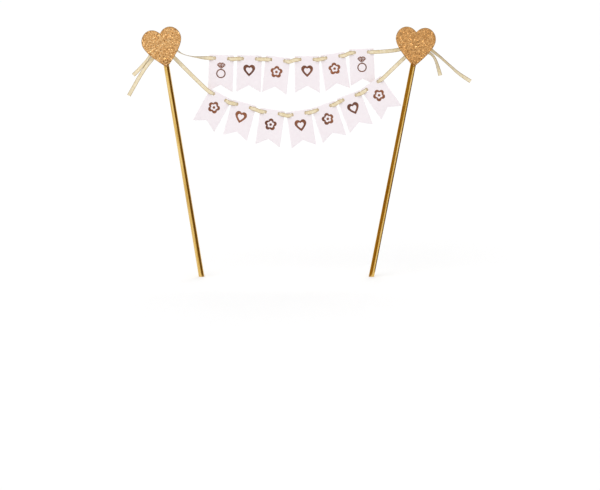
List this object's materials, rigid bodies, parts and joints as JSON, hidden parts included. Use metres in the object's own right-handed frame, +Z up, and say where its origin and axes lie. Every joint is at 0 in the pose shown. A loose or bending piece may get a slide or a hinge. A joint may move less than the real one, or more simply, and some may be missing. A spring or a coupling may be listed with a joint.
{
  "type": "bunting cake topper",
  "caption": "Bunting cake topper: gold sticks with glitter hearts hold ribbons threaded with swallow-tail card flags that hang and swing between the sticks.",
  "frame": {"origin": "on the surface that the sticks are pushed into, midway between the sticks", "axes": "+Z up out of that surface, +X to the right as seen from the front, +Y away from the viewer"},
  "size_m": [0.275, 0.0123, 0.2375],
  "materials": {
    "stick_foil": "rolled paper with polished gold foil",
    "foam": "matt white foam",
    "glitter": "coarse rose-gold glitter",
    "ribbon": "pale gold woven ribbon with a soft sheen",
    "card": "matt pale pink card"
  },
  "bodies": {
    "frame": {"left_stick": "stick_foil", "right_stick": "stick_foil", "left_pad": "foam", "right_pad": "foam", "left_heart": "glitter", "right_heart": "glitter", "left_upper_knot": "ribbon", "left_upper_tail": "ribbon", "left_lower_knot": "ribbon", "left_lower_tail": "ribbon", "right_upper_knot": "ribbon", "right_upper_tail": "ribbon", "right_lower_knot": "ribbon", "right_lower_tail": "ribbon"},
    "upper_line": {"upper_ribbon": "ribbon"},
    "lower_line": {"lower_ribbon": "ribbon"},
    "upper_flag_1": {"upper_flag_1": "card"},
    "upper_flag_2": {"upper_flag_2": "card"},
    "upper_flag_3": {"upper_flag_3": "card"},
    "upper_flag_4": {"upper_flag_4": "card"},
    "upper_flag_5": {"upper_flag_5": "card"},
    "upper_flag_6": {"upper_flag_6": "card"},
    "lower_flag_1": {"lower_flag_1": "card"},
    "lower_flag_2": {"lower_flag_2": "card"},
    "lower_flag_3": {"lower_flag_3": "card"},
    "lower_flag_4": {"lower_flag_4": "card"},
    "lower_flag_5": {"lower_flag_5": "card"},
    "lower_flag_6": {"lower_flag_6": "card"},
    "lower_flag_7": {"lower_flag_7": "card"}
  },
  "joints": [
    {"name": "upper_line_swing", "type": "hinge", "parent": "frame", "child": "upper_line", "pos_m": [0, 0.00285, 0.18698], "axis": [1, 0, 0], "range_deg": [-5, 40]},
    {"name": "lower_line_swing", "type": "hinge", "parent": "frame", "child": "lower_line", "pos_m": [0, -0.00285, 0.18148], "axis": [1, 0, 0], "range_deg": [-18, 6]},
    {"name": "upper_flag_1_swing", "type": "hinge", "parent": "upper_line", "child": "upper_flag_1", "pos_m": [-0.05182, 0.00285, 0.17558], "axis": [0.999, 0, -0.0436], "range_deg": [-8, 18]},
    {"name": "upper_flag_2_swing", "type": "hinge", "parent": "upper_line", "child": "upper_flag_2", "pos_m": [-0.02956, 0.00285, 0.17527], "axis": [0.9997, 0, -0.0262], "range_deg": [-18, 18]},
    {"name": "upper_flag_3_swing", "type": "hinge", "parent": "upper_line", "child": "upper_flag_3", "pos_m": [-0.00702, 0.00285, 0.1741], "axis": [0.9945, 0, -0.1045], "range_deg": [-18, 18]},
    {"name": "upper_flag_4_swing", "type": "hinge", "parent": "upper_line", "child": "upper_flag_4", "pos_m": [0.01642, 0.00285, 0.17473], "axis": [1, 0, 0.0087], "range_deg": [-18, 18]},
    {"name": "upper_flag_5_swing", "type": "hinge", "parent": "upper_line", "child": "upper_flag_5", "pos_m": [0.03703, 0.00285, 0.17671], "axis": [0.989, 0, 0.1478], "range_deg": [-18, 18]},
    {"name": "upper_flag_6_swing", "type": "hinge", "parent": "upper_line", "child": "upper_flag_6", "pos_m": [0.0598, 0.00285, 0.18049], "axis": [0.999, 0, 0.0436], "range_deg": [-8, 18]},
    {"name": "lower_flag_1_swing", "type": "hinge", "parent": "lower_line", "child": "lower_flag_1", "pos_m": [-0.05334, -0.00285, 0.14518], "axis": [0.8746, 0, -0.4848], "range_deg": [-18, 15]},
    {"name": "lower_flag_2_swing", "type": "hinge", "parent": "lower_line", "child": "lower_flag_2", "pos_m": [-0.03421, -0.00285, 0.13805], "axis": [0.9659, 0, -0.2588], "range_deg": [-18, 18]},
    {"name": "lower_flag_3_swing", "type": "hinge", "parent": "lower_line", "child": "lower_flag_3", "pos_m": [-0.01139, -0.00285, 0.13252], "axis": [0.9903, 0, -0.1392], "range_deg": [-18, 18]},
    {"name": "lower_flag_4_swing", "type": "hinge", "parent": "lower_line", "child": "lower_flag_4", "pos_m": [0.01002, -0.00285, 0.13171], "axis": [0.989, 0, 0.1478], "range_deg": [-18, 18]},
    {"name": "lower_flag_5_swing", "type": "hinge", "parent": "lower_line", "child": "lower_flag_5", "pos_m": [0.03004, -0.00285, 0.13664], "axis": [0.9483, 0, 0.3173], "range_deg": [-18, 18]},
    {"name": "lower_flag_6_swing", "type": "hinge", "parent": "lower_line", "child": "lower_flag_6", "pos_m": [0.05032, -0.00285, 0.14481], "axis": [0.9336, 0, 0.3584], "range_deg": [-18, 18]},
    {"name": "lower_flag_7_swing", "type": "hinge", "parent": "lower_line", "child": "lower_flag_7", "pos_m": [0.06855, -0.00285, 0.1545], "axis": [0.8191, 0, 0.5736], "range_deg": [-18, 15]}
  ]
}
